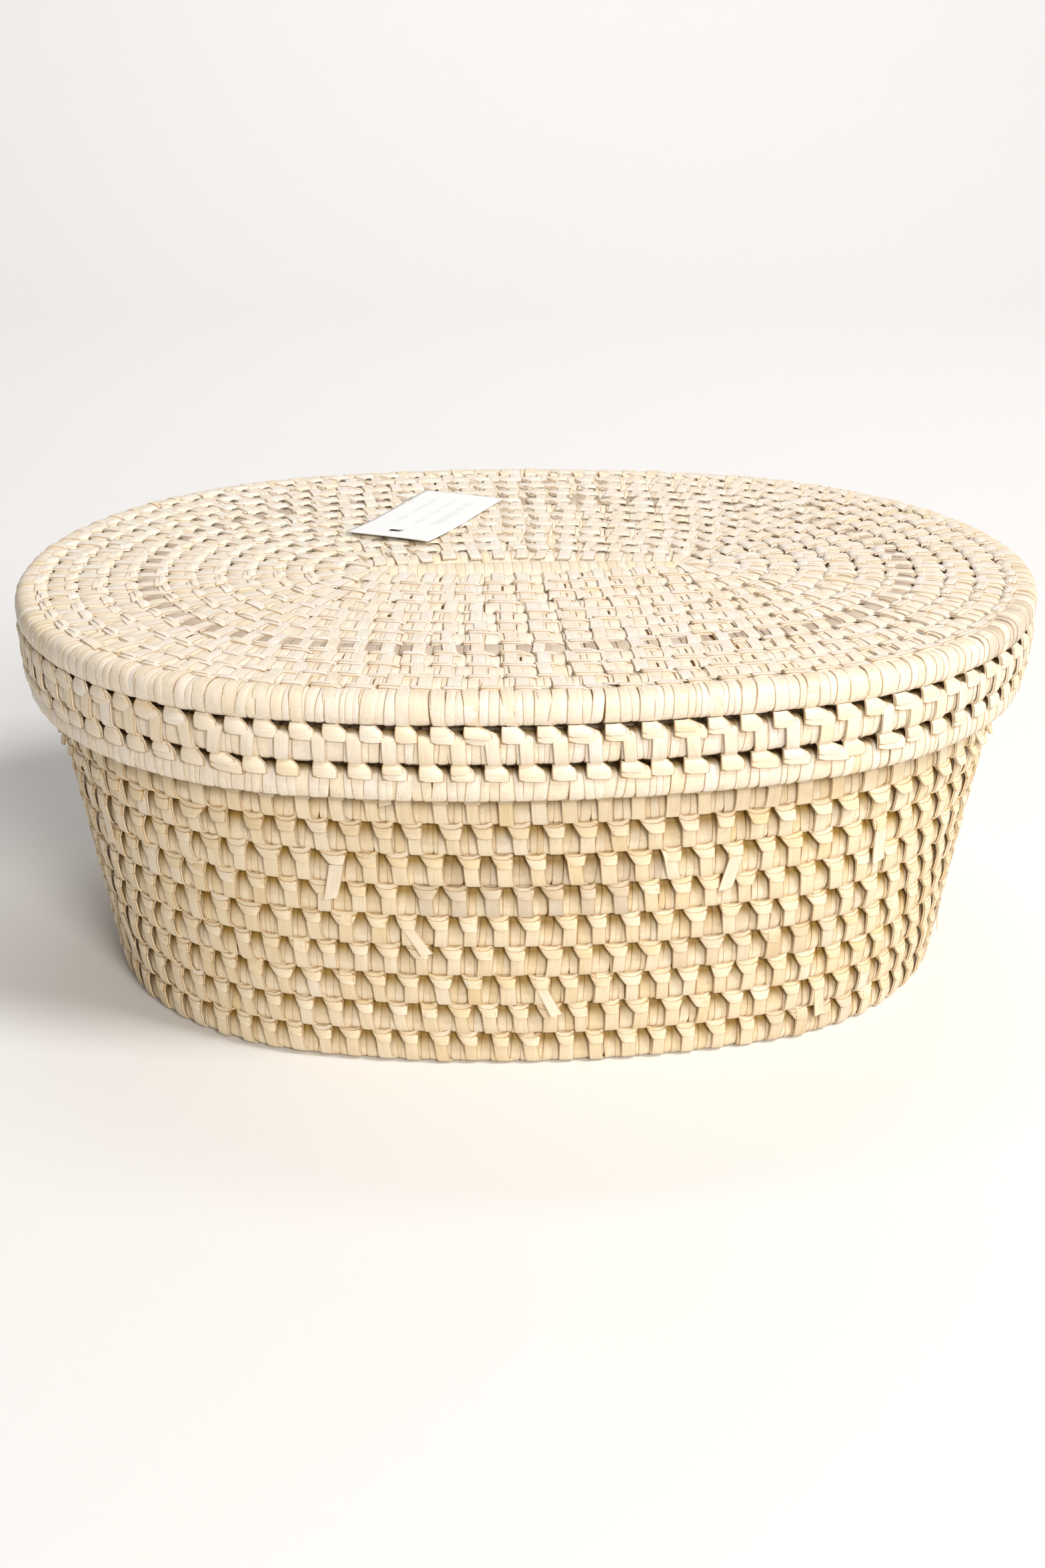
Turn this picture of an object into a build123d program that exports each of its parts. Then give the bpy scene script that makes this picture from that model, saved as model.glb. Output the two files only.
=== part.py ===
"""Oval coiled basket with a lift-off lid, in millimetres, resting on Z = 0 with +X along its length.

Every round of coil is an oval made of four arcs: a small arc round each end and a flat bow along each
side. All rounds share the same arc centres, so they nest, and a round is fully described by how far
its outer face lies inside the lid's outline ("inset"), its width, its bottom height and its height.
"""
import math
import os

from build123d import *

# The lid's outline
HALF_LENGTH = 225.0
HALF_WIDTH = 166.0
SIDE_BOW = 8.0                      # how far the long sides bow out of a straight-sided oval

# The start of each coil: a narrow flat oval that the innermost round goes round
CENTRE_END_RADIUS = 3.0
CENTRE_CORNER = 2.0

# Lid top: flat rounds from the outline to the middle
LID_ROUNDS = 12
LID_COIL_HEIGHT = 12.8
LID_COIL_CORNER = 5.2

# Lid rim: two more rounds under the edge, held apart by knots
RIM_PITCH = 15.8
RIM_COIL_WIDTH = 10.0
RIM_COIL_CORNER = 4.4
RIM_STEP_IN = 1.0                   # each rim round lies this much further in than the one above
KNOTS_PER_ROUND = 100
KNOT_TOP_WIDTH = 5.0
KNOT_FOOT_WIDTH = 9.0
KNOT_DEPTH = 6.0

# Basket wall: stacked rounds, flared up to a straight neck that the lid's rim covers
WALL_ROWS = 11
NECK_ROWS = 3
WALL_ROW_HEIGHT = 15.0
WALL_COIL_WIDTH = 11.0
WALL_COIL_CORNER = 5.2
NECK_INSET = 14.5
WALL_FLARE = 2.45                   # each row below the neck lies this much further in

# Basket base: flat rounds inside the lowest wall row
BASE_ROUNDS = 9
BASE_COIL_HEIGHT = 12.5
BASE_COIL_CORNER = 5.0

LID_REST_GAP = 0.6                  # height left between the top wall row and the lid

# Paper tag lying on the lid
TAG_WIDTH = 42.0
TAG_LENGTH = 83.0
TAG_THICKNESS = 0.5
TAG_TURN = -27.0                    # degrees, about +Z
TAG_CENTRE = (-44.0, 73.0)
TAG_EYELET_RADIUS = 1.6
TAG_EYELET_FROM_CENTRE = (-1.5, -29)

# Worked out from the sizes above
END_RADIUS = HALF_WIDTH - SIDE_BOW
END_CENTRE = HALF_LENGTH - END_RADIUS
SIDE_RADIUS = (END_CENTRE**2 + HALF_WIDTH**2 - END_RADIUS**2) / (2 * SIDE_BOW)
SIDE_CENTRE = SIDE_RADIUS - HALF_WIDTH
END_HALF_ANGLE = math.degrees(math.atan2(SIDE_CENTRE, END_CENTRE))
WALL_HEIGHT = WALL_ROWS * WALL_ROW_HEIGHT
LID_BOTTOM = WALL_HEIGHT + LID_REST_GAP
LID_TOP = LID_BOTTOM + LID_COIL_HEIGHT
LID_COIL_WIDTH = (END_RADIUS - CENTRE_END_RADIUS) / LID_ROUNDS
WALL_FOOT_INSET = NECK_INSET + WALL_FLARE * (WALL_ROWS - NECK_ROWS)
BASE_INSET = WALL_FOOT_INSET + WALL_COIL_WIDTH
BASE_COIL_WIDTH = (END_RADIUS - CENTRE_END_RADIUS - BASE_INSET) / BASE_ROUNDS


def arc_of_coil(centre, outer_radius, from_angle, sweep, section):
    """Part of a round: the coil section turned about the vertical through centre."""
    width, bottom, height, corner = section
    middle = (outer_radius - width / 2, 0, bottom + height / 2)
    upright = Plane(origin=middle, x_dir=(1, 0, 0), z_dir=(0, -1, 0))
    profile = upright * RectangleRounded(width, height, corner)
    turned = revolve(profile, Axis.Z, sweep)
    return Pos(*centre, 0) * Rot(0, 0, from_angle) * turned


def coil_round(inset, width, bottom, height, corner):
    """One whole round of coil, its outer face inset mm inside the lid's outline."""
    section = (width, bottom, height, corner)
    end_sweep = 2 * END_HALF_ANGLE
    side_sweep = 180 - end_sweep
    parts = []
    for half_turn in (0, 180):
        side = 1 if half_turn == 0 else -1
        end_start = half_turn - END_HALF_ANGLE
        side_start = half_turn + END_HALF_ANGLE
        parts.append(arc_of_coil((side * END_CENTRE, 0), END_RADIUS - inset, end_start, end_sweep, section))
        parts.append(arc_of_coil((0, -side * SIDE_CENTRE), SIDE_RADIUS - inset, side_start, side_sweep, section))
    return parts[0].fuse(*parts[1:])


def oval_wire(inset):
    """The oval inset mm inside the lid's outline, starting at the +X end."""
    radius = END_RADIUS - inset
    turn = math.radians(END_HALF_ANGLE)
    x = END_CENTRE + radius * math.cos(turn)
    y = radius * math.sin(turn)
    right = ThreePointArc((x, -y), (END_CENTRE + radius, 0), (x, y))
    far = ThreePointArc((x, y), (0, HALF_WIDTH - inset), (-x, y))
    left = ThreePointArc((-x, y), (-END_CENTRE - radius, 0), (-x, -y))
    near = ThreePointArc((-x, -y), (0, inset - HALF_WIDTH), (x, -y))
    return Wire([right, far, left, near])


def coil_centre(bottom, height):
    """The narrow oval at the start of a coil, with rounded edges."""
    slab = extrude(make_face(oval_wire(END_RADIUS - CENTRE_END_RADIUS)), height)
    edges = slab.edges().filter_by(Axis.Z, reverse=True)
    return Pos(0, 0, bottom) * fillet(edges, CENTRE_CORNER)


def knots(inset, bottom, height):
    """A row of knots between two rim rounds: narrow at the top, wider at the foot."""
    path = oval_wire(inset)
    outline = Polyline(
        (-KNOT_FOOT_WIDTH / 2, 0),
        (KNOT_FOOT_WIDTH / 2, 0),
        (KNOT_TOP_WIDTH / 2, height),
        (-KNOT_TOP_WIDTH / 2, height),
        close=True,
    )
    knot = extrude(make_face(Plane.XZ * outline), KNOT_DEPTH / 2, both=True)
    row = []
    for number in range(KNOTS_PER_ROUND):
        share = number / KNOTS_PER_ROUND
        place = path.position_at(share)
        along = path.tangent_at(share)
        turn = math.degrees(math.atan2(along.Y, along.X))
        row.append(Pos(place.X, place.Y, bottom) * Rot(0, 0, turn) * knot)
    return Compound(children=row)


def tag():
    """The paper tag, lying on the lid with a punched eyelet near one corner."""
    card = Box(TAG_WIDTH, TAG_LENGTH, TAG_THICKNESS)
    hole = Pos(*TAG_EYELET_FROM_CENTRE, 0) * Cylinder(TAG_EYELET_RADIUS, 2 * TAG_THICKNESS)
    return Pos(*TAG_CENTRE, LID_TOP + TAG_THICKNESS / 2) * Rot(0, 0, TAG_TURN) * (card - hole)


pieces = {}

# Basket base, from the middle outwards
pieces["base_centre"] = coil_centre(0, BASE_COIL_HEIGHT)
for number in range(BASE_ROUNDS):
    inset = BASE_INSET + (BASE_ROUNDS - 1 - number) * BASE_COIL_WIDTH
    name = f"base_round_{number + 1:02d}"
    pieces[name] = coil_round(inset, BASE_COIL_WIDTH, 0, BASE_COIL_HEIGHT, BASE_COIL_CORNER)

# Basket wall, from the foot upwards
for number in range(WALL_ROWS):
    rows_below_neck = max(0, WALL_ROWS - NECK_ROWS - number)
    inset = NECK_INSET + WALL_FLARE * rows_below_neck
    bottom = number * WALL_ROW_HEIGHT
    name = f"wall_row_{number + 1:02d}"
    pieces[name] = coil_round(inset, WALL_COIL_WIDTH, bottom, WALL_ROW_HEIGHT, WALL_COIL_CORNER)

# Lid top, from the middle outwards; the last round is the lid's edge
pieces["lid_centre"] = coil_centre(LID_BOTTOM, LID_COIL_HEIGHT)
for number in range(LID_ROUNDS):
    inset = (LID_ROUNDS - 1 - number) * LID_COIL_WIDTH
    name = f"lid_round_{number + 1:02d}"
    pieces[name] = coil_round(inset, LID_COIL_WIDTH, LID_BOTTOM, LID_COIL_HEIGHT, LID_COIL_CORNER)

# Lid rim, from the edge downwards, with the knots above each round
knot_height = RIM_PITCH - LID_COIL_HEIGHT
for number in (1, 2):
    inset = number * RIM_STEP_IN
    bottom = LID_BOTTOM - number * RIM_PITCH
    round_top = bottom + LID_COIL_HEIGHT
    pieces[f"rim_round_{number}"] = coil_round(inset, RIM_COIL_WIDTH, bottom, LID_COIL_HEIGHT, RIM_COIL_CORNER)
    pieces[f"rim_knots_{number}"] = knots(inset + RIM_COIL_WIDTH / 2, round_top, knot_height)

pieces["tag"] = tag()

os.makedirs("parts", exist_ok=True)
for name, piece in pieces.items():
    export_step(piece, f"parts/{name}.step")
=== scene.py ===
"""The lidded palm-leaf basket's look, in metres, built on the CAD frame.

Every round of coil is shown as what it is: a bundle wrapped in flat strips of leaf and tied to the round
before it by long stitches. A strip is a grid of points with a thickness edge along both sides. Each round
has two faces. The worked face shows a knot above every stitch; the plain face shows a funnel of leaf.
"""

import math

import bpy
import numpy as np
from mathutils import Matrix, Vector


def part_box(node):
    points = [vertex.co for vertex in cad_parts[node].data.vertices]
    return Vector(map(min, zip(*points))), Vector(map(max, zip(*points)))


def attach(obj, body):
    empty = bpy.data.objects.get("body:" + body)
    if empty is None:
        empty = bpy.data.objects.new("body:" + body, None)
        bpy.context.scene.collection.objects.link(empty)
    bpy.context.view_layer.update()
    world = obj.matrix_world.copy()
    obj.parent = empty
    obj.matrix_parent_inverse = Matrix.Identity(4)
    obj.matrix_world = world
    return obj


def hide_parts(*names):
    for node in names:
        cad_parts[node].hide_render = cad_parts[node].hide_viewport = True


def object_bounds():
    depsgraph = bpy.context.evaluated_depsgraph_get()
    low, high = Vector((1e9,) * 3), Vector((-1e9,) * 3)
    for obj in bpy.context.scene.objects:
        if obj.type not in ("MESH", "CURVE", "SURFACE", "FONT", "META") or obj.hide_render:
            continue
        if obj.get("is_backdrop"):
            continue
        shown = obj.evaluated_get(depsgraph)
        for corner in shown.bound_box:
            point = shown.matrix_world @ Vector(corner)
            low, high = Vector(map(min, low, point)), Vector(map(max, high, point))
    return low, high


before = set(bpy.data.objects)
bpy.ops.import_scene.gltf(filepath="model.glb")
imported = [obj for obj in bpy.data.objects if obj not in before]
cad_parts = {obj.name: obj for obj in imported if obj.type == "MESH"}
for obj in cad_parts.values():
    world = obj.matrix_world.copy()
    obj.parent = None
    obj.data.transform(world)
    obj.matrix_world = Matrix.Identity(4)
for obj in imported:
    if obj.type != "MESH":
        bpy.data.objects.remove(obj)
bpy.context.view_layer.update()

MM = 0.001
FULL_TURN = 2 * np.pi
rng = np.random.default_rng(7)

# ---- Sizes ---------------------------------------------------------------------------------------------

# The oval outline, four arcs as in the CAD model
SIDE_BOW = 8.0 * MM
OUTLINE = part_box("lid_round_12")[1]
HALF_LENGTH, HALF_WIDTH = OUTLINE.x, OUTLINE.y
END_RADIUS = HALF_WIDTH - SIDE_BOW
END_CENTRE = HALF_LENGTH - END_RADIUS
SIDE_RADIUS = (END_CENTRE**2 + HALF_WIDTH**2 - END_RADIUS**2) / (2 * SIDE_BOW)
SIDE_CENTRE = SIDE_RADIUS - HALF_WIDTH
END_HALF_ANGLE = math.atan2(SIDE_CENTRE, END_CENTRE)

WALL_ROWS = 11
NECK_ROWS = 3
LID_ROUNDS = 12
BASE_ROUNDS = 9
WALL_COIL_WIDTH = 11.0 * MM
RIM_COIL_WIDTH = 10.0 * MM

# Strips of leaf
STITCH_PITCH = 13.2 * MM
BAND_WIDTH = 5.7 * MM
BAND_PROUD = 1.2 * MM               # how far a long stitch stands out of the coil it crosses
FLAT_BAND_PROUD = 0.35 * MM         # the same on the flat rounds of the base and the lid
FLAT_PROUD = 0.55                   # how proud their knots and funnels are, as a share of the wall's
FLAT_KNOT_SIZE = 1.15               # how big their knots are, as a share of the wall's
WRAP_SQUARENESS = 2.6               # 2 is an ellipse, more is closer to a rectangle
SECTION_POINTS = 16                 # round a wrap's section
BUNDLE_POINTS = 13                  # round the bundle's section, the first and last at the same place
BUNDLE_SHARE = 0.90                 # the bundle inside the wraps, as a share of their section
EDGE_DEPTH = 0.9 * MM               # how far a strip's sides reach down
LIFT_SPREAD = 0.15 * MM             # how unevenly the strips stand out

# How unevenly the stitches stand, as shares of their pitch
STITCH_SCATTER = 0.045
STITCH_WANDER = 0.10
WANDERS_ROUND_THE_OVAL = 5
WANDER_PHASE = 300                  # radians for each metre of height, so that each round has its own

# How the rounds rise and sink on their way round
SWAY = 0.8 * MM
SWAYS_ROUND_THE_OVAL = 2
SWAY_PHASE = 20                     # radians for each metre of height
SWAY_FULL_HEIGHT = 100 * MM         # the sway dies away from here down to the floor

# Leaf colours, and what they are multiplied by: painted shade in the joins between rounds and at the seams
# between strips, and darker fibres and blotches
PALE = (0.86, 0.785, 0.71)
CREAM = (0.86, 0.735, 0.55)
STRAW = (0.79, 0.61, 0.34)
BROWN = (0.46, 0.36, 0.28)
# painted shade: the colour that darkens the joins between rounds
PAINTED_JOIN_SHADE = (0.40, 0.28, 0.05)
# painted shade: the colour that darkens the seams along the strips' cut sides
PAINTED_SEAM_SHADE = (0.46, 0.29, 0.09)
DARK_FIBRE = (0.80, 0.72, 0.58)
DARK_BLOTCH = (0.90, 0.85, 0.76)
UNCHANGED = (1, 1, 1)
FIBRE_SHADE, BLOTCH_SHADE, SEAM_SHADE = 0.5, 0.6, 0.9       # how much of each darkening is used
FIBRES_PER_METRE = (2600.0, 70.0, 1.0)      # across the leaf, along it and from strip to strip
BLOTCHES_PER_METRE = (260.0, 90.0, 1.0)

# Where a leaf's tone lies between pale 0 and straw 1. The lid's paler tone and the wall's more golden one
# are partly painted light: the lid's top is washed out as if in strong light and the wall golden as if in
# warm reflected shade
WALL_TONE = 0.62
BASE_TONE = 0.45
LID_TONE = 0.12
RIM_TONE = 0.36
RIM_WRAP_TONE = 0.3
CENTRE_TONE = 0.45
LOOSE_END_TONE = 0.45
TONE_SPREAD = 0.11
# painted shade: the wraps under the stitches get a darker tone, as if shaded by them
FLAT_WRAPS_DARKER = 0.15            # than the stitches over them

# How many stitches of a round are brown, as a share, and how brown
WALL_BROWN, FLAT_BROWN, FLAT_STITCH_BROWN, RIM_BROWN = 0.06, 0.04, 0.03, 0.02
SLIGHTLY_BROWN = 0.15, 0.45
VERY_BROWN = 0.6, 1.0

# Other colours
CARD = (0.88, 0.88, 0.87)
INK = (0.60, 0.64, 0.60)
FLOOR = (0.84, 0.83, 0.82)

# Camera and room
CAMERA_AIM = Vector((-2.2, 0.0, 71.9)) * MM
CAMERA_DISTANCE = 1.025
CAMERA_AZIMUTH = -3.0
CAMERA_ELEVATION = 23.25
CAMERA_LENS = 50.5
CAMERA_REACH = 50.0
FLOOR_SIZE = 12.0
BACK_START = 1.5                    # where the floor begins to curve up, behind the basket
BACK_RADIUS = 1.5
BACK_HEIGHT = 6.0
BACK_STEPS = 12
ROOM_LIGHT = (1.0, 0.99, 0.98)
ROOM_LIGHT_STRENGTH = 0.18
BASKET_MIDDLE = (0, 0, 0.05)
LAMPS = (
    # name, place, what it points at, size, watts, colour
    ("window", (1.75, -1.28, 2.5), BASKET_MIDDLE, 0.9, 73, (1.0, 0.995, 0.985)),
    ("front", (0.7, -2.5, 1.5), BASKET_MIDDLE, 0.9, 48, (1.0, 0.96, 0.90)),
    ("backdrop", (0.2, 0.9, 2.6), (-0.2, 3.0, 1.2), 1.6, 36.5, (1.0, 1.0, 1.0)),
)

# The tag, as in the CAD model
TAG_WIDTH = 42.0 * MM
TAG_LENGTH = 83.0 * MM
TAG_TURN = math.radians(-27.0)
TAG_EYELET = Vector((-1.5, -29.0)) * MM
TAG_EYELET_RADIUS = 1.6 * MM

# The tag, as it is shown: a thin card that lies on the knots
CARD_THICKNESS = 0.35 * MM
CARD_LIFT = 2.0 * MM
CARD_CURL = 1.6 * MM                # how much more the eyelet's end lifts
CARD_CURL_ENDS = 2.2                # the curl ends at the length divided by this
CARD_WAVE = 0.3 * MM
CARD_COLUMNS, CARD_ROWS = 22, 42
PRINT_LINES = (-9.0, 1.0, 10.0)     # where the lines of faint print run, in mm from the card's middle
PRINT_HALF_HEIGHT = 1.6 * MM
PRINT_FROM, PRINT_TO = -14 * MM, 30 * MM


# ---- Places on the oval --------------------------------------------------------------------------------

def perimeter(inset):
    """Length of the oval that lies inset inside the lid's outline."""
    end_length = 4 * END_HALF_ANGLE * (END_RADIUS - inset)
    side_length = (2 * math.pi - 4 * END_HALF_ANGLE) * (SIDE_RADIUS - inset)
    return end_length + side_length


def place(share, inset, reference):
    """Where the oval at this inset lies at a share of the way round, counted along the reference oval."""
    end_turn = END_HALF_ANGLE
    side_turn = math.pi - 2 * END_HALF_ANGLE
    turns = np.array([end_turn, side_turn, 2 * end_turn, side_turn, end_turn])
    starts = np.concatenate([[0.0], np.cumsum(turns)])
    radii = np.array([END_RADIUS, SIDE_RADIUS, END_RADIUS, SIDE_RADIUS, END_RADIUS])
    centres_x = np.array([END_CENTRE, 0, -END_CENTRE, 0, END_CENTRE])
    centres_y = np.array([0, -SIDE_CENTRE, 0, SIDE_CENTRE, 0])
    ends = np.cumsum(turns * (radii - reference))
    along = np.mod(share, 1.0) * ends[-1]
    arc = np.minimum(np.searchsorted(ends, along, side="right"), 4)
    from_arc_start = along - np.concatenate([[0.0], ends])[arc]
    angle = starts[arc] + from_arc_start / (radii[arc] - reference)
    normal_x, normal_y = np.cos(angle), np.sin(angle)
    x = centres_x[arc] + (radii[arc] - inset) * normal_x
    y = centres_y[arc] + (radii[arc] - inset) * normal_y
    return x, y


FACES = {
    # for each face: the outward and upward parts of "out of the face" and of "towards the round before"
    "wall_outside": ((1, 0), (0, -1)),
    "wall_inside": ((-1, 0), (0, -1)),
    "rim_outside": ((1, 0), (0, 1)),
    "rim_inside": ((-1, 0), (0, 1)),
    "top": ((0, 1), (-1, 0)),
    "underside": ((0, -1), (-1, 0)),
}


class Round:
    """One round of coil, with its place and section read from its CAD node.

    recess is how far the wraps lie behind the coil's face and its top, slump is how far their section leans
    outward at the bottom, and the last argument is how much painted shade the wraps get in the joins, from 0
    to 1.
    """

    def __init__(self, node, width, reference=None, stagger=0.0, flare=0.0, count=None,
                 recess=(0, 0), slump=0, join_shade_strength=0.0):
        low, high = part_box(node)
        self.node = node
        self.inset = HALF_WIDTH - high.y + width / 2
        self.reference = self.inset if reference is None else reference
        self.height = (low.z + high.z) / 2
        self.half_width = width / 2
        self.half_height = (high.z - low.z) / 2
        self.flare = flare
        self.wrap_half_width = self.half_width - recess[0]
        self.wrap_half_height = self.half_height - recess[1]
        self.slump = slump
        self.join_shade_strength = join_shade_strength
        self.length = perimeter(self.reference)
        self.count = count or round(self.length / STITCH_PITCH)
        self.stagger = stagger
        numbers = np.arange(self.count)
        turned = numbers / self.count * 2 * np.pi * WANDERS_ROUND_THE_OVAL
        wander = STITCH_WANDER * np.sin(turned + self.height * WANDER_PHASE)
        unevenness = rng.normal(0, STITCH_SCATTER, self.count) + wander
        self.stitches = (numbers + stagger + unevenness) / self.count

    def points(self, share, sideways, outward, upward):
        """Points in the room, from the share round the oval, the distance sideways from there along it, and
        the distances outward and upward from the coil's middle."""
        leaning = outward + self.flare * upward
        x, y = place(share + sideways / self.length, self.inset - leaning, self.reference)
        turned = share * 2 * SWAYS_ROUND_THE_OVAL * np.pi
        sway = SWAY * np.sin(turned + self.height * SWAY_PHASE) * min(self.height / SWAY_FULL_HEIGHT, 1)
        z = np.broadcast_to(self.height + upward + sway, x.shape)
        return np.stack([x, y, z], axis=-1)

    def half_sizes(self, face):
        """The section's half size out of the face and along it."""
        if face in ("top", "underside"):
            return self.half_height, self.half_width
        return self.half_width, self.half_height


def section(angle, half_out, half_along, squareness=WRAP_SQUARENESS):
    """A rounded section by the angle from the face's middle: how far out and along, and its normal."""
    power = 2 / squareness
    cos, sin = np.cos(angle), np.sin(angle)
    out = half_out * np.sign(cos) * np.abs(cos) ** power
    along = half_along * np.sign(sin) * np.abs(sin) ** power
    normal_out = np.sign(cos) * np.abs(cos) ** (2 - power) / half_out
    normal_along = np.sign(sin) * np.abs(sin) ** (2 - power) / half_along
    size = np.hypot(normal_out, normal_along)
    return out, along, normal_out / size, normal_along / size


# ---- Strips of leaf ------------------------------------------------------------------------------------

class Leaf:
    """Collects strips of leaf, each a grid of points, and makes one mesh of them."""

    def __init__(self):
        self.points, self.quads, self.grain, self.tint_and_shade = [], [], [], []
        self.total = 0

    def add(self, points, across, along, colour, edge=1.0, deep=0.0, closed=False):
        """Adds strips of points (strips, along, across, 3).

        across and along are metres on the leaf, colour holds each strip's tone and how brown it is, edge is
        0 on a cut side of the leaf and 1 away from it and sets where painted shade darkens the seams, and
        the last argument is the painted shade of the joins between rounds: 1 in the joins and 0 on their
        faces.
        """
        shape = points.shape[:3]
        strips, rows, columns = shape
        index = self.total + np.arange(strips * rows * columns).reshape(shape)
        if closed:
            index = np.concatenate([index, index[:, :1]], axis=1)
        corners = [index[:, :-1, :-1], index[:, 1:, :-1], index[:, 1:, 1:], index[:, :-1, 1:]]
        self.quads.append(np.stack(corners, axis=-1).reshape(-1, 4))
        self.points.append(points.reshape(-1, 3))
        own = rng.uniform(0, 100, strips)[:, None, None]
        self.grain.append(stack(shape, across, along, own))
        tone, brown = colour[:, 0, None, None], colour[:, 1, None, None]
        self.tint_and_shade.append(stack(shape, tone, brown, edge, deep))
        self.total += strips * rows * columns

    def mesh(self, name):
        mesh = bpy.data.meshes.new(name)
        points = np.concatenate(self.points).astype(np.float32)
        quads = np.concatenate(self.quads).astype(np.int32)
        mesh.vertices.add(len(points))
        mesh.vertices.foreach_set("co", points.ravel())
        mesh.loops.add(quads.size)
        mesh.loops.foreach_set("vertex_index", quads.ravel())
        mesh.polygons.add(len(quads))
        mesh.polygons.foreach_set("loop_start", np.arange(0, quads.size, 4, dtype=np.int32))
        mesh.update(calc_edges=True)
        grain = mesh.attributes.new("grain", "FLOAT_VECTOR", "POINT")
        grain.data.foreach_set("vector", np.concatenate(self.grain).astype(np.float32).ravel())
        tint_and_shade = mesh.attributes.new("tint_and_shade", "FLOAT_COLOR", "POINT")
        tint_and_shade.data.foreach_set("color", np.concatenate(self.tint_and_shade).astype(np.float32).ravel())
        mesh.shade_smooth()
        mesh.set_sharp_from_angle(angle=math.radians(50))
        return mesh


def stack(shape, *values):
    """Spreads each value over the whole grid and lists them point by point."""
    return np.stack([np.broadcast_to(value, shape) for value in values], axis=-1).reshape(-1, len(values))


def turn_to_room(face, out, along):
    """Turns "out of the face" and "towards the round before" into outward and upward."""
    (out_x, out_z), (along_x, along_z) = FACES[face]
    return out * out_x + along * along_x, out * out_z + along * along_z


def colours(strips, tone, brown=0.0):
    """Each strip's tone, from pale 0 to straw 1, and how brown it is."""
    tone = np.clip(rng.normal(tone, TONE_SPREAD, strips), 0, 1)
    return np.stack([tone, np.broadcast_to(brown, strips)], axis=1)


def runs(count, chance, shortest=2, longest=7):
    """How brown each stitch of a round is: 0, but for a few runs of neighbours made with the same leaf."""
    marked = np.zeros(count)
    for _ in range(round(count * chance / longest)):
        start = rng.integers(count)
        length = rng.integers(shortest, longest + 1)
        marked[np.arange(start, start + length) % count] = rng.uniform(*SLIGHTLY_BROWN)
    return marked


# A strip's points from side to side: down its left side, over it and down its right side
ACROSS = np.array([-1.0, -1.0, -0.5, 0.5, 1.0, 1.0])
ACROSS_LIFT = np.array([-EDGE_DEPTH, 0.0, 0.12 * MM, 0.12 * MM, 0.0, -EDGE_DEPTH])
ACROSS_EDGE = np.array([1.0, 0.0, 1.0, 1.0, 0.0, 1.0])
SIDE = (ACROSS + 1) / 2


def path_normals(out, along):
    """The direction out of a path that runs along the face."""
    step_out, step_along = np.gradient(out), np.gradient(along)
    size = np.hypot(step_out, step_along)
    return step_along / size, -step_out / size


def wrap_section(coil, angles):
    """The section of a round's wraps: outward, upward and the two parts of the normal."""
    out, up, normal_out, normal_up = section(angles, coil.wrap_half_width, coil.wrap_half_height)
    return out - coil.slump * up / coil.wrap_half_height, up, normal_out, normal_up


# The painted shade of a join on a slumped section: where it begins below the middle, how far it takes, and
# how fast
SLUMPED_SHADE_START = 0.3
SLUMPED_SHADE_REACH = 0.8
SLUMPED_SHADE_POWER = 1.2
JOIN_SHADE_REACH = 0.2               # the same on other sections, from the join inward


def join_shade_of_section(coil, out, up):
    """How much painted shade each part of a wrap's section gets: more the further it lies into a join
    between rounds.
    """
    if coil.slump:
        share = (up / coil.wrap_half_height + SLUMPED_SHADE_START) / SLUMPED_SHADE_REACH
        return coil.join_shade_strength * np.clip(share, 0, 1) ** SLUMPED_SHADE_POWER
    lies_flat = coil.half_width > coil.half_height
    beside = np.abs(out) / coil.wrap_half_width if lies_flat else np.abs(up) / coil.wrap_half_height
    return coil.join_shade_strength * np.clip((beside - (1 - JOIN_SHADE_REACH)) / JOIN_SHADE_REACH, 0, 1)


def add_bundle(leaf, coil):
    """The bundle inside the wraps, darkened all over with painted shade where it shows between them."""
    share = np.linspace(0, 1, coil.count * 2 + 1)
    out, up, _, _ = wrap_section(coil, np.linspace(0, FULL_TURN, BUNDLE_POINTS))
    whole_section = share[:, None] + np.zeros(len(out))
    points = coil.points(whole_section, 0.0, out[None] * BUNDLE_SHARE, up[None] * BUNDLE_SHARE)
    run = share[None, None] * coil.length
    leaf.add(np.transpose(points, (1, 0, 2))[None], 0.0, run, np.array([[1.0, 0.0]]), deep=1.0)


# A wrap's points from side to side
WRAP_ACROSS = np.array([-1.0, -1.0, -0.4, 0.5, 1.0])
WRAP_LIFT = np.array([-0.60, 0.24, 0.38, 0.24, -0.12]) * MM
WRAP_EDGE = np.array([1.0, 0.0, 1.0, 1.0, 1.0])
WRAP_OVERLAP = 0.25 * MM
WRAPS_BETWEEN = [1, 2, 3]
WRAPS_BETWEEN_CHANCES = [0.12, 0.70, 0.18]
WRAP_PLACE_SPREAD = 0.35 * MM
WRAP_TILT = 0.2 * MM, 0.45 * MM     # how far a wrap leans along the coil: mean and spread
WRAP_LIFT_SPREAD = 0.12 * MM
WRAP_EVENNESS = 45.0                # more makes the wraps between two stitches more alike in width


def wrap_places(coil):
    """Each wrap's middle along the coil, its width and the number of its stitch."""
    spacing = coil.length / coil.count
    window = spacing - BAND_WIDTH
    centres, widths, owners = [], [], []
    for number in range(coil.count):
        middle = (number + coil.stagger + 0.5) * spacing + rng.normal(0, WRAP_PLACE_SPREAD)
        pieces = rng.choice(WRAPS_BETWEEN, p=WRAPS_BETWEEN_CHANCES)
        parts = [BAND_WIDTH] + list(rng.dirichlet(np.full(pieces, WRAP_EVENNESS)) * window)
        start = middle - BAND_WIDTH / 2
        for part in parts:
            centres.append(start + part / 2)
            widths.append(part)
            owners.append(number)
            start += part
    return np.array(centres), np.array(widths), owners


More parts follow.
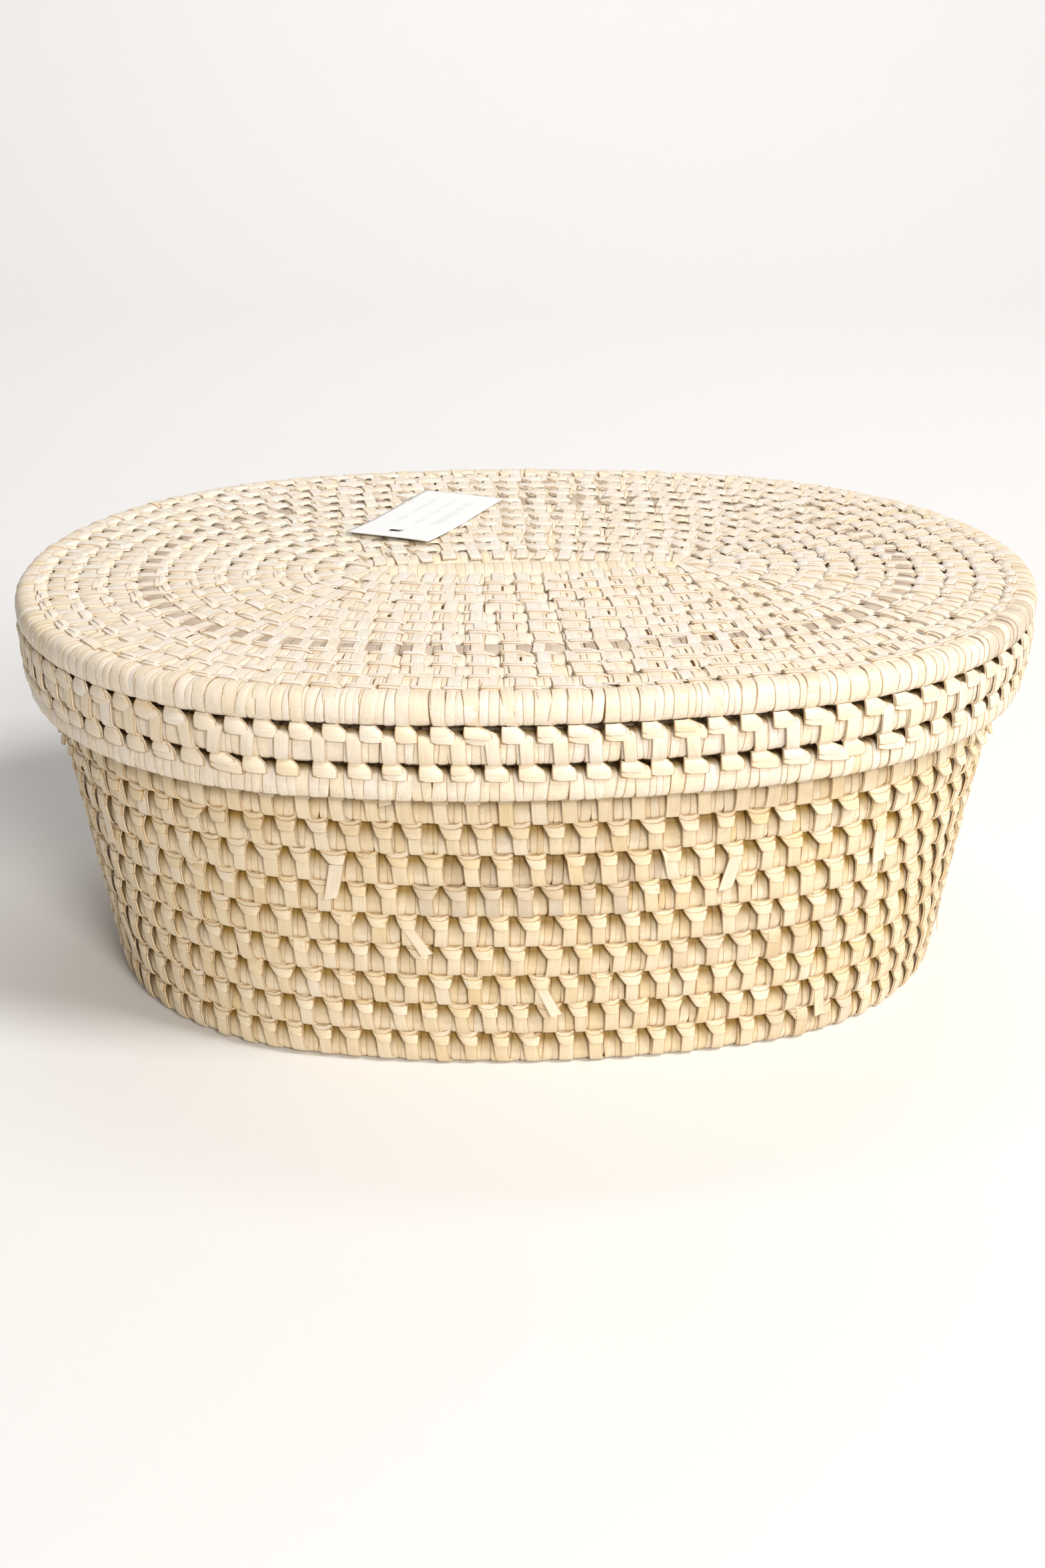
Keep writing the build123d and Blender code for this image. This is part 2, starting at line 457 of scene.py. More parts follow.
def add_wraps(leaf, coil, brown, tone):
    """The narrow wraps right round the coil: one under each long stitch and one to three between them."""
    centres, widths, owners = wrap_places(coil)
    strips = len(centres)
    angles = np.linspace(0, FULL_TURN, SECTION_POINTS + 1)[:-1]
    out, up, normal_out, normal_up = wrap_section(coil, angles)
    tilt = rng.normal(*WRAP_TILT, strips)[:, None, None] * np.sin(angles)[None, :, None]
    half = widths[:, None, None] / 2
    sideways = WRAP_ACROSS * (half + WRAP_OVERLAP) + tilt
    raise_by = WRAP_LIFT + rng.normal(0, WRAP_LIFT_SPREAD, strips)[:, None, None]
    outward = out[:, None] + normal_out[:, None] * raise_by
    upward = up[:, None] + normal_up[:, None] * raise_by
    points = coil.points((centres / coil.length)[:, None, None], sideways, outward, upward)
    loop = angles[:, None] * (coil.half_width + coil.half_height) / 2
    # painted shade, strongest where the section lies furthest into the join between rounds
    deep = join_shade_of_section(coil, out, up)[:, None]
    colour = colours(strips, tone, brown[owners])
    leaf.add(points, WRAP_ACROSS * half, loop, colour, WRAP_EDGE, deep, closed=True)


# A long stitch's path over the coil before: its place along the face as a share of the half size, and how
# far it stands out of the face as a share of how proud it is
BAND_ALONG = np.array([-1.0, -0.82, -0.5, 0.0, 0.5, 0.8, 0.94, 1.0, 0.97])
BAND_OUT = np.array([-1.6, 0.1, 0.85, 1.0, 0.95, 0.7, 0.3, -0.5, -2.6])

# The path of a stitch that goes on over the coil's far side, as angles from the middle of the face
OVER_EDGE_ANGLES = np.linspace(-1.25, 2.55, 17)
OVER_EDGE_PROUD = 0.2 * MM
OVER_EDGE_SQUARENESS = 2.8

BAND_LEAN = 0.45 * MM               # how far a long stitch leans along the coil
BAND_LEAN_SPREAD = 0.55 * MM
BAND_LEAN_WANDER = 0.9 * MM
LEAN_WANDERS_ROUND_THE_OVAL = 3
LEAN_WANDER_PHASE = 60              # radians for each metre of height
BAND_WIDTH_SPREAD = 0.07
BAND_TAPER = 0.06
BAND_LENGTH_SPREAD = 0.35 * MM


def band_path(coil, face, proud, over_edge):
    """Where a long stitch runs over a coil's face, or on over the coil's far side to the next join."""
    half_out, half_along = coil.half_sizes(face)
    if over_edge:
        proud_out, proud_along = half_out + OVER_EDGE_PROUD, half_along + OVER_EDGE_PROUD
        out, along, _, _ = section(OVER_EDGE_ANGLES, proud_out, proud_along, OVER_EDGE_SQUARENESS)
        return out, along
    return half_out + BAND_OUT * proud, half_along * BAND_ALONG


def add_bands(leaf, before, face, stitches, brown, tone, proud=BAND_PROUD, over_edge=False, lean=BAND_LEAN):
    """The long stitches where they cross the face of the round before, tucked in at its far side."""
    strips = len(stitches)
    out, along = band_path(before, face, proud, over_edge)
    normal_out, normal_along = path_normals(out, along)
    progress = np.linspace(-1, 1, len(out))
    widths = BAND_WIDTH / 2 * rng.normal(1.0, BAND_WIDTH_SPREAD, strips)
    half = widths[:, None, None] * (1 + BAND_TAPER * progress[:, None])
    turned = stitches * 2 * np.pi * LEAN_WANDERS_ROUND_THE_OVAL
    wander = BAND_LEAN_WANDER * np.sin(turned + before.height * LEAN_WANDER_PHASE)
    slant = (rng.normal(lean, BAND_LEAN_SPREAD, strips) + wander)[:, None, None] * progress[:, None]
    raise_by = ACROSS_LIFT + rng.normal(0, LIFT_SPREAD, strips)[:, None, None]
    longer = rng.normal(0, BAND_LENGTH_SPREAD, strips)[:, None, None] * np.clip(progress, 0, 1)[:, None]
    face_out = out[:, None] + normal_out[:, None] * raise_by
    face_along = along[:, None] + normal_along[:, None] * raise_by + longer
    outward, upward = turn_to_room(face, face_out, face_along)
    points = before.points(stitches[:, None, None], ACROSS * half + slant, outward, upward)
    run = np.cumsum(np.hypot(np.gradient(out), np.gradient(along)))
    leaf.add(points, ACROSS * half, run[:, None], colours(strips, tone, brown), ACROSS_EDGE)


def join_gap(coil, before, face):
    """How far apart the two coils stand along the face."""
    _, half_along = coil.half_sizes(face)
    _, before_along = before.half_sizes(face)
    flat = face in ("top", "underside")
    distance = before.inset - coil.inset if flat else abs(before.height - coil.height)
    return distance - half_along - before_along


# A funnel's points from side to side: closer together than a strip's, because its top edge sags
CUP = np.array([-1.0, -1.0, -0.75, -0.35, 0.35, 0.75, 1.0, 1.0])
CUP_LIFT = np.array([-EDGE_DEPTH, 0, 0, 0, 0, 0, 0, -EDGE_DEPTH])
CUP_EDGE = np.array([1.0, 0.0, 0.6, 1.0, 1.0, 0.6, 0.0, 1.0])
CUP_SIDE = (CUP + 1) / 2

# A funnel's points from the top down, as shares of the fold that they belong to
FOLD_SHARES = [0, 0, 0.3, 0.6, 0.9, 1, 1]
FOLD_ENDS = np.array([-1.1, 0, 0, 0, 0, 0, -0.7])[:, None] * MM
FOLD_CUTS = np.array([1, 0, 1, 1, 1, 0, 1])[:, None]

# A funnel is two folds of leaf: where each starts and stops on the way down, and how much more it stands out
FUNNEL_FOLDS = ((0.0, 0.62, 0.0), (0.30, 1.0, 0.30))
FUNNEL_TOP, FUNNEL_FOOT = -2.0, 5.6         # mm from the round's edge
FUNNEL_RISE = [-0.15, 0.80, 1.50]           # mm out of the face at its top, middle and foot
FUNNEL_SAG = 2.2 * MM
FUNNEL_LEFT_FLARE = 3.9, 0.9                # mm wider than the neck at its top: mean and spread
FUNNEL_RIGHT_FLARE = 0.9                    # mm, the mean
FUNNEL_NECK = 1.02                          # its neck, as a share of the stitch's width
FUNNEL_PLACE_SPREAD = 0.3 * MM


def add_funnels(leaf, coil, face, stitches, brown, tone, proud=1.0):
    """Plain face: the leaf that comes out under this round and narrows to the neck of each long stitch."""
    half_out, half_along = coil.half_sizes(face)
    strips = len(stitches)
    left_flare = rng.normal(*FUNNEL_LEFT_FLARE, strips)[:, None, None] * MM
    right_flare = rng.exponential(FUNNEL_RIGHT_FLARE, strips)[:, None, None] * MM
    neck = BAND_WIDTH / 2 * FUNNEL_NECK
    for start, stop, lift in FUNNEL_FOLDS:
        part = np.interp(FOLD_SHARES, [0, 1], [start, stop])[:, None]
        down = np.interp(part, [0, 1], [FUNNEL_TOP, FUNNEL_FOOT]) * MM
        rise = np.interp(part, [0, 0.5, 1], FUNNEL_RISE) * MM * proud + lift * MM + FOLD_ENDS
        left = -neck - left_flare * (1 - part) ** 0.9
        right = neck + right_flare * (1 - part)
        sideways = left + (right - left) * CUP_SIDE
        sag = FUNNEL_SAG * (1 - CUP**2) * (1 - part)
        curve = np.abs(CUP) ** 3 * (1.3 - 0.7 * part) * MM
        toward = half_along + down + sag + rng.normal(0, FUNNEL_PLACE_SPREAD, strips)[:, None, None]
        face_out = half_out + rise - curve + CUP_LIFT + np.zeros_like(toward)
        outward, upward = turn_to_room(face, face_out, toward)
        points = coil.points(stitches[:, None, None], sideways, outward, upward)
        leaf.add(points, toward, sideways, colours(strips, tone, brown), CUP_EDGE * FOLD_CUTS)


# Of the knots, how many are wide and how many more have a second fold over the first
WIDE_KNOTS = 0.28
FOLDED_KNOTS = 0.35
SECOND_FOLD_SIZE = 0.6
SECOND_FOLD_LIFT = 0.35 * MM
WIDE_KNOT_SPREAD = 1.5, 2.2         # how far a wide knot spreads: least and most
KNOT_SPREAD = 1.0, 0.12             # how far the others spread: mean and spread

# A knot's points from its narrow top down to its foot, as shares of its depth
KNOT_DOWN = np.array([0, 0.12, 0.35, 0.6, 0.88, 1, 1])[:, None]
KNOT_ENDS = np.array([0, 0, 0, 0, 0, 0, -1.3])[:, None] * MM
KNOT_CUTS = np.array([1, 1, 1, 1, 1, 0, 1])[:, None]

# At those points: how much of its flare it has reached, how far it stands out, and how its sides fall away
KNOT_WIDENING = np.interp(KNOT_DOWN, [0, 0.12, 0.35, 0.6, 1], [0, 0.25, 0.80, 1, 1.0])
KNOT_RISE = np.interp(KNOT_DOWN, [0, 0.2, 0.5, 0.8, 1], [-0.4, 0.8, 1.25, 1.25, 1.0]) * MM
KNOT_SIDES_FALL = np.where(SIDE < 0.5, 0.3, 0.7) * np.abs(2 * SIDE - 1) ** 4 * MM

KNOT_TOP = -0.9 * MM
KNOT_HALF_NECK = 2.9 * MM
KNOT_LEFT_BULGE = 0.2 * MM
KNOT_DEPTH = 3.6 * MM               # besides its share of the gap between the rounds
KNOT_GAP_SHARE = 0.7
KNOT_SLANT = 1.3 * MM               # how much deeper its right side reaches, the wider it is
KNOT_FLARE = 3.7 * MM               # how much further its right side spreads at the foot


def add_knots(leaf, coil, before, face, stitches, brown, tone, size=1.0, proud=1.0):
    """Worked face: the knot round the neck of each stitch, spreading over the shoulder of this round."""
    gap = join_gap(coil, before, face)
    count = len(stitches)
    wide = rng.uniform(0, 1, count) < WIDE_KNOTS
    folded = wide | (rng.uniform(0, 1, count) < FOLDED_KNOTS)
    spread = size * np.where(wide, rng.uniform(*WIDE_KNOT_SPREAD, count), rng.normal(*KNOT_SPREAD, count))
    add_fold(leaf, coil, face, gap, stitches, brown, tone, spread, size, proud, 0.0)
    add_fold(leaf, coil, face, gap, stitches[folded], brown[folded], tone, spread[folded] * SECOND_FOLD_SIZE,
             size * SECOND_FOLD_SIZE, proud, SECOND_FOLD_LIFT)


def add_fold(leaf, coil, face, gap, stitches, brown, tone, spread, depth, proud, lift):
    """One fold of leaf round the neck of these stitches, from narrow at the top to wide at the foot."""
    strips = len(stitches)
    spread = spread[:, None, None]
    half_out, half_along = coil.half_sizes(face)
    left_end = (KNOT_GAP_SHARE * gap + KNOT_DEPTH) * depth
    right_end = left_end + KNOT_SLANT * (spread - 0.9)
    left = -KNOT_HALF_NECK - KNOT_LEFT_BULGE * np.sin(KNOT_DOWN * np.pi)
    right = KNOT_HALF_NECK + KNOT_WIDENING * KNOT_FLARE * spread
    sideways = left + (right - left) * SIDE
    drop = KNOT_TOP + KNOT_DOWN * (left_end - KNOT_TOP + (right_end - left_end) * SIDE)
    rise = KNOT_RISE * proud + lift
    wobble = rng.normal(0, LIFT_SPREAD, strips)[:, None, None]
    face_out = half_out + rise + KNOT_ENDS - KNOT_SIDES_FALL + ACROSS_LIFT + wobble
    face_out = face_out + np.zeros_like(sideways)
    toward = half_along + gap - drop + np.zeros_like(face_out)
    outward, upward = turn_to_room(face, face_out, toward)
    points = coil.points(stitches[:, None, None], sideways, outward, upward)
    leaf.add(points, toward, sideways, colours(strips, tone, brown), ACROSS_EDGE * KNOT_CUTS)


LOOSE_END_CHANCE = 0.025            # of each stitch on the outside of the wall
LOOSE_END_LENGTHS = 10 * MM, 18 * MM
LOOSE_END_PROUD = 1.6 * MM
LOOSE_END_SLANT = 0.2, 0.3          # sideways for each length downward: mean and spread
LOOSE_END_BEND = 0.4, 2.6           # mm out of the face at the tip: least and most
LOOSE_END_WIDTH = 0.75, 1.1         # of the stitches' width: least and most
LOOSE_END_START = 0.2               # above the middle of the coil, as a share of its half size
LOOSE_END_LIFT = 0.45               # the strip's own lift, as a share of a stitch's
LOOSE_END_CUT = 1.4 * MM            # how much the cut slants from one side to the other


def add_loose_ends(leaf, before, face, stitches):
    """The cut ends of leaf that stick out below a few of the long stitches."""
    chosen = stitches[rng.uniform(0, 1, len(stitches)) < LOOSE_END_CHANCE]
    strips = len(chosen)
    half_out, half_along = before.half_sizes(face)
    down = np.linspace(0, 1, 7)[:, None]
    length = rng.uniform(*LOOSE_END_LENGTHS, strips)[:, None, None]
    slant = rng.normal(*LOOSE_END_SLANT, strips)[:, None, None]
    bend = rng.uniform(*LOOSE_END_BEND, strips)[:, None, None] * MM
    half = BAND_WIDTH / 2 * rng.uniform(*LOOSE_END_WIDTH, strips)[:, None, None]
    toward = down * length - half_along * LOOSE_END_START - LOOSE_END_CUT * SIDE * down**6
    sideways = ACROSS * half + slant * down * length
    face_out = half_out + LOOSE_END_PROUD + bend * down**2 + ACROSS_LIFT * LOOSE_END_LIFT
    face_out = face_out + np.zeros_like(toward)
    outward, upward = turn_to_room(face, face_out, toward)
    points = before.points(chosen[:, None, None], sideways, outward, upward)
    leaf.add(points, ACROSS * half, down * length, colours(strips, LOOSE_END_TONE), ACROSS_EDGE)


def show(leaf, name, body, *nodes):
    """Makes the piece, hides the CAD nodes it stands for and lets it ride on their body."""
    piece = bpy.data.objects.new(name, leaf.mesh(name))
    bpy.context.scene.collection.objects.link(piece)
    piece.data.materials.append(PALM_LEAF)
    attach(piece, body)
    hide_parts(*nodes)


# ---- Materials -----------------------------------------------------------------------------------------

def new_material(name):
    material = bpy.data.materials.new(name)
    material.use_nodes = True
    return material, material.node_tree.nodes, material.node_tree.links


def add_noise(nodes, links, vector, scale, detail):
    """Noise stretched along the leaf: scale is repeats per metre across it, along it and per strip."""
    stretch = nodes.new("ShaderNodeMapping")
    stretch.inputs["Scale"].default_value = scale
    links.new(vector, stretch.inputs["Vector"])
    noise = nodes.new("ShaderNodeTexNoise")
    noise.inputs["Scale"].default_value = 1.0
    noise.inputs["Detail"].default_value = detail
    noise.inputs["Roughness"].default_value = 0.65
    links.new(stretch.outputs["Vector"], noise.inputs["Vector"])
    return noise.outputs["Fac"]


def add_ramp(nodes, links, value, *stops):
    """A colour ramp; each stop is a position and a colour."""
    ramp = nodes.new("ShaderNodeValToRGB")
    elements = ramp.color_ramp.elements
    while len(elements) < len(stops):
        elements.new(0.5)
    for element, (position, colour) in zip(elements, stops):
        element.position = position
        element.color = (*colour, 1)
    links.new(value, ramp.inputs["Fac"])
    return ramp.outputs["Color"]


def add_mix(nodes, links, blend, first, second, amount):
    """Mixes two colours; the second and the amount may be plain values."""
    mix = nodes.new("ShaderNodeMixRGB")
    mix.blend_type = blend
    links.new(first, mix.inputs["Color1"])
    for socket, given in ((mix.inputs["Color2"], second), (mix.inputs["Fac"], amount)):
        if isinstance(given, bpy.types.NodeSocket):
            links.new(given, socket)
        else:
            socket.default_value = given
    return mix.outputs["Color"]


def palm_leaf_material():
    """Dried palm leaf: fibres along each strip, pale to straw or brown, with painted shade at the seams
    between strips and in the joins between rounds.
    """
    material, nodes, links = new_material("palm_leaf")
    surface = nodes["Principled BSDF"]
    surface.inputs["Roughness"].default_value = 0.5
    surface.inputs["Specular IOR Level"].default_value = 0.5
    grain = nodes.new("ShaderNodeAttribute")
    grain.attribute_name = "grain"
    tint_and_shade = nodes.new("ShaderNodeAttribute")
    tint_and_shade.attribute_name = "tint_and_shade"
    parts = nodes.new("ShaderNodeSeparateColor")
    links.new(tint_and_shade.outputs["Color"], parts.inputs["Color"])
    tone, brown, edge = (parts.outputs[name] for name in ("Red", "Green", "Blue"))

    fibre = add_noise(nodes, links, grain.outputs["Vector"], FIBRES_PER_METRE, 3.0)
    blotch = add_noise(nodes, links, grain.outputs["Vector"], BLOTCHES_PER_METRE, 2.0)
    leaf = add_ramp(nodes, links, tone, (0.0, PALE), (0.5, CREAM), (1.0, STRAW))
    leaf = add_mix(nodes, links, "MIX", leaf, (*BROWN, 1), brown)
    fibre_shade = add_ramp(nodes, links, fibre, (0.32, DARK_FIBRE), (0.52, UNCHANGED))
    leaf = add_mix(nodes, links, "MULTIPLY", leaf, fibre_shade, FIBRE_SHADE)
    blotch_shade = add_ramp(nodes, links, blotch, (0.30, DARK_BLOTCH), (0.60, UNCHANGED))
    leaf = add_mix(nodes, links, "MULTIPLY", leaf, blotch_shade, BLOTCH_SHADE)
    # painted shade along the seams at the strips' cut sides
    edge_shade = add_ramp(nodes, links, edge, (0.06, PAINTED_SEAM_SHADE), (0.20, UNCHANGED))
    leaf = add_mix(nodes, links, "MULTIPLY", leaf, edge_shade, SEAM_SHADE)
    # painted shade in the joins between rounds, from the attribute's alpha
    leaf = add_mix(nodes, links, "MULTIPLY", leaf, (*PAINTED_JOIN_SHADE, 1), tint_and_shade.outputs["Alpha"])
    links.new(leaf, surface.inputs["Base Color"])

    bump = nodes.new("ShaderNodeBump")
    bump.inputs["Strength"].default_value = 0.45
    bump.inputs["Distance"].default_value = 0.12 * MM
    links.new(fibre, bump.inputs["Height"])
    links.new(bump.outputs["Normal"], surface.inputs["Normal"])
    return material


def paper_material():
    """Uncoated white card with a faint tooth and the faint grey of its print."""
    material, nodes, links = new_material("paper")
    surface = nodes["Principled BSDF"]
    surface.inputs["Roughness"].default_value = 0.8
    print_amount = nodes.new("ShaderNodeAttribute")
    print_amount.attribute_name = "print"
    card = add_ramp(nodes, links, print_amount.outputs["Fac"], (0.0, CARD), (1.0, INK))
    links.new(card, surface.inputs["Base Color"])
    tooth = nodes.new("ShaderNodeTexNoise")
    tooth.inputs["Scale"].default_value = 1800.0
    bump = nodes.new("ShaderNodeBump")
    bump.inputs["Strength"].default_value = 0.15
    bump.inputs["Distance"].default_value = 0.05 * MM
    links.new(tooth.outputs["Fac"], bump.inputs["Height"])
    links.new(bump.outputs["Normal"], surface.inputs["Normal"])
    return material


def floor_material():
    """A matt, pale floor."""
    material, nodes, _ = new_material("floor")
    surface = nodes["Principled BSDF"]
    surface.inputs["Base Color"].default_value = (*FLOOR, 1)
    surface.inputs["Roughness"].default_value = 0.9
    surface.inputs["Specular IOR Level"].default_value = 0.1
    return material


PALM_LEAF = palm_leaf_material()
PAPER = paper_material()


# ---- The coils -----------------------------------------------------------------------------------------

def wall_rounds():
    """The wall's rows from the foot up. They share one spacing, so the stitches stand in columns."""
    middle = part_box("wall_row_06")[1]
    reference = HALF_WIDTH - middle.y + WALL_COIL_WIDTH / 2
    foot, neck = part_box("wall_row_01")[1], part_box(f"wall_row_{WALL_ROWS - NECK_ROWS + 1:02d}")[1]
    flare = (neck.y - foot.y) / (neck.z - foot.z)
    count = round(perimeter(reference) / STITCH_PITCH)
    rows = []
    for number in range(1, WALL_ROWS + 1):
        slope = flare if number <= WALL_ROWS - NECK_ROWS else 0.0
        stagger = 0.5 * (number % 2)
        # painted shade in the joins of all rows but the top one
        join_shade_strength = 1.0 if number < WALL_ROWS else 0.0
        rows.append(Round(f"wall_row_{number:02d}", WALL_COIL_WIDTH, reference, stagger, slope, count,
                          recess=(1.3 * MM, -0.3 * MM), slump=2.1 * MM, join_shade_strength=join_shade_strength))
    return rows


def flat_rounds(name, count):
    """The flat rounds of the base or lid from the middle out, each as wide as the step to the next."""
    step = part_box(f"{name}_{count:02d}")[1].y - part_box(f"{name}_{count - 1:02d}")[1].y
    rounds = []
    for number in range(1, count + 1):
        stagger = 0.5 * (number % 2)
        # a little painted shade in the joins of all rounds but the outermost
        join_shade_strength = 0.2 if number < count else 0.0
        rounds.append(Round(f"{name}_{number:02d}", step, stagger=stagger,
                            recess=(-0.3 * MM, 0.2 * MM), join_shade_strength=join_shade_strength))
    return rounds


def build_wall(rows):
    """The wall: funnels and loose ends outside, knots inside."""
    before = None
    for coil in rows:
        leaf = Leaf()
        brown = runs(coil.count, WALL_BROWN)
        add_bundle(leaf, coil)
        add_wraps(leaf, coil, brown, WALL_TONE)
        if before is not None:
            add_bands(leaf, before, "wall_outside", coil.stitches, brown, WALL_TONE)
            add_funnels(leaf, coil, "wall_outside", coil.stitches, brown, WALL_TONE)
            if before is not rows[0]:
                add_loose_ends(leaf, before, "wall_outside", coil.stitches)
            add_bands(leaf, before, "wall_inside", coil.stitches, brown, WALL_TONE)
            add_knots(leaf, coil, before, "wall_inside", coil.stitches, brown, WALL_TONE)
        show(leaf, coil.node + "_leaf", "basket", coil.node)
        before = coil


def build_flat(rounds, body, tone, brown_round=None):
    """The flat rounds of the base or lid, knots on top and funnels below; one round's wraps may be brown."""
    before = None
    for coil in rounds:
        leaf = Leaf()
        if coil.node == brown_round:
            brown = rng.uniform(*VERY_BROWN, coil.count)
        else:
            brown = runs(coil.count, FLAT_BROWN)
        stitch_brown = runs(coil.count, FLAT_STITCH_BROWN)
        add_bundle(leaf, coil)
        add_wraps(leaf, coil, brown, tone + FLAT_WRAPS_DARKER)
        if before is not None:
            add_bands(leaf, before, "top", coil.stitches, stitch_brown, tone, FLAT_BAND_PROUD)
            add_knots(leaf, coil, before, "top", coil.stitches, stitch_brown, tone,
                      FLAT_KNOT_SIZE, FLAT_PROUD)
            add_bands(leaf, before, "underside", coil.stitches, stitch_brown, tone, FLAT_BAND_PROUD)
            add_funnels(leaf, coil, "underside", coil.stitches, stitch_brown, tone, FLAT_PROUD)
        show(leaf, coil.node + "_leaf", body, coil.node)
        before = coil


def build_rim(edge):
    """The two rim rounds under the lid's edge, open between the knots."""
    before = edge
    for number in (1, 2):
        stagger = edge.stagger + 0.5 * number
        # strong painted shade in the rim's joins
        coil = Round(f"rim_round_{number}", RIM_COIL_WIDTH, edge.inset, stagger, count=edge.count,
                     recess=(0.5 * MM, 0.0), join_shade_strength=0.9)
        leaf = Leaf()
        brown = runs(coil.count, RIM_BROWN)
        add_bundle(leaf, coil)
        add_wraps(leaf, coil, brown, RIM_WRAP_TONE)
        add_bands(leaf, before, "rim_outside", coil.stitches, brown, RIM_TONE,
                  over_edge=before is edge, lean=0.0)
        add_knots(leaf, coil, before, "rim_outside", coil.stitches, brown, RIM_TONE)
        add_bands(leaf, before, "rim_inside", coil.stitches, brown, RIM_TONE)
        show(leaf, coil.node + "_leaf", "lid", coil.node, f"rim_knots_{number}")
        before = coil


# The wraps of the narrow bundle in the middle, and their points from side to side
CENTRE_WRAP_PITCH = 4.2 * MM
CENTRE_WRAP_REACH = 2.3 * MM        # to each side, so that the wraps overlap a little
CENTRE_GRAIN_REACH = 2.2 * MM       # the same on the leaf
CENTRE_END = 2 * MM                 # from the bundle's end to the last wrap's middle
CENTRE_ACROSS = np.array([-1.0, -1.0, 0.0, 1.0])
CENTRE_LIFT = np.array([-0.5, 0.2, 0.3, -0.1]) * MM


def build_centre(node, body):
    """The start of the coil: a narrow oval bundle wrapped across."""
    low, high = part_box(node)
    half_width = high.y
    leaf = Leaf()
    count = round((high.x - low.x) / CENTRE_WRAP_PITCH)
    x_middle = np.linspace(low.x + CENTRE_END, high.x - CENTRE_END, count)
    angles = np.linspace(0, FULL_TURN, SECTION_POINTS + 1)[:-1]
    narrow = np.sqrt(np.clip(1 - (x_middle / high.x) ** 2, 0.05, 1)) ** 0.8
    out, up, normal_out, normal_up = section(angles, 1.0, (high.z - low.z) / 2)
    y = out[:, None] * (half_width * narrow)[:, None, None] + normal_out[:, None] * CENTRE_LIFT
    z = (low.z + high.z) / 2 + up[:, None] + normal_up[:, None] * CENTRE_LIFT
    x = x_middle[:, None, None] + CENTRE_ACROSS * CENTRE_WRAP_REACH
    points = np.stack(np.broadcast_arrays(x, y, z), axis=-1)
    grain = CENTRE_ACROSS * CENTRE_GRAIN_REACH
    loop = angles[:, None] * half_width
    leaf.add(points, grain, loop, colours(count, CENTRE_TONE), closed=True)
    show(leaf, node + "_leaf", body, node)


build_wall(wall_rounds())
base = flat_rounds("base_round", BASE_ROUNDS)
lid_top = flat_rounds("lid_round", LID_ROUNDS)
build_flat(base, "basket", BASE_TONE)
build_flat(lid_top, "lid", LID_TONE, brown_round="lid_round_08")
build_rim(lid_top[-1])
build_centre("base_centre", "basket")
build_centre("lid_centre", "lid")


# ---- The tag -------------------------------------------------------------------------------------------

def card_quads(hole):
    """The card's faces, less those with a corner in the hole."""
    columns = hole.shape[1]
    quads = []
    for row in range(hole.shape[0] - 1):
        for column in range(columns - 1):
            corner = row * columns + column
            quad = (corner, corner + 1, corner + columns + 1, corner + columns)
            if not any(hole.ravel()[list(quad)]):
                quads.append(quad)
    return quads


def print_amount(x, y):
    """How dark the print is at each point of the card: a few broken lines that say nothing."""
    from_line = np.min([np.abs(x - line * MM) for line in PRINT_LINES], axis=0)
    printed = (from_line < PRINT_HALF_HEIGHT) & (y > PRINT_FROM) & (y < PRINT_TO)
    return np.where(printed, rng.uniform(0.1, 0.5, x.shape), 0.0)


def build_tag():
    """The paper tag: a thin card lying on the lid, with one end a little lifted and a punched eyelet."""
    low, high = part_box("tag")
    middle = (low + high) / 2
    across = np.linspace(-TAG_WIDTH / 2, TAG_WIDTH / 2, CARD_COLUMNS)
    along = np.linspace(-TAG_LENGTH / 2, TAG_LENGTH / 2, CARD_ROWS)
    x, y = np.meshgrid(across, along)
    from_near_end = (y + TAG_LENGTH / 2) / TAG_LENGTH
    lift = CARD_CURL * np.clip(1 - from_near_end * CARD_CURL_ENDS, 0, 1) ** 2 + CARD_LIFT
    lift = lift + CARD_WAVE * np.sin(x / TAG_WIDTH * math.pi + 0.6)
    cos, sin = math.cos(TAG_TURN), math.sin(TAG_TURN)
    room_x = middle.x + x * cos - y * sin
    room_y = middle.y + x * sin + y * cos
    points = np.stack([room_x, room_y, low.z + lift], axis=-1).reshape(-1, 3)
    hole = np.hypot(x - TAG_EYELET.x, y - TAG_EYELET.y) < TAG_EYELET_RADIUS
    mesh = bpy.data.meshes.new("tag_card")
    mesh.from_pydata(points.tolist(), [], card_quads(hole))
    mesh.shade_smooth()
    mesh.materials.append(PAPER)
    mesh.attributes.new("print", "FLOAT", "POINT").data.foreach_set("value", print_amount(x, y).ravel())
    card = bpy.data.objects.new("tag_card", mesh)
    bpy.context.scene.collection.objects.link(card)
    card.modifiers.new("thickness", "SOLIDIFY").thickness = CARD_THICKNESS
    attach(card, "lid")
    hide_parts("tag")


build_tag()


# ---- Room, light and camera ----------------------------------------------------------------------------

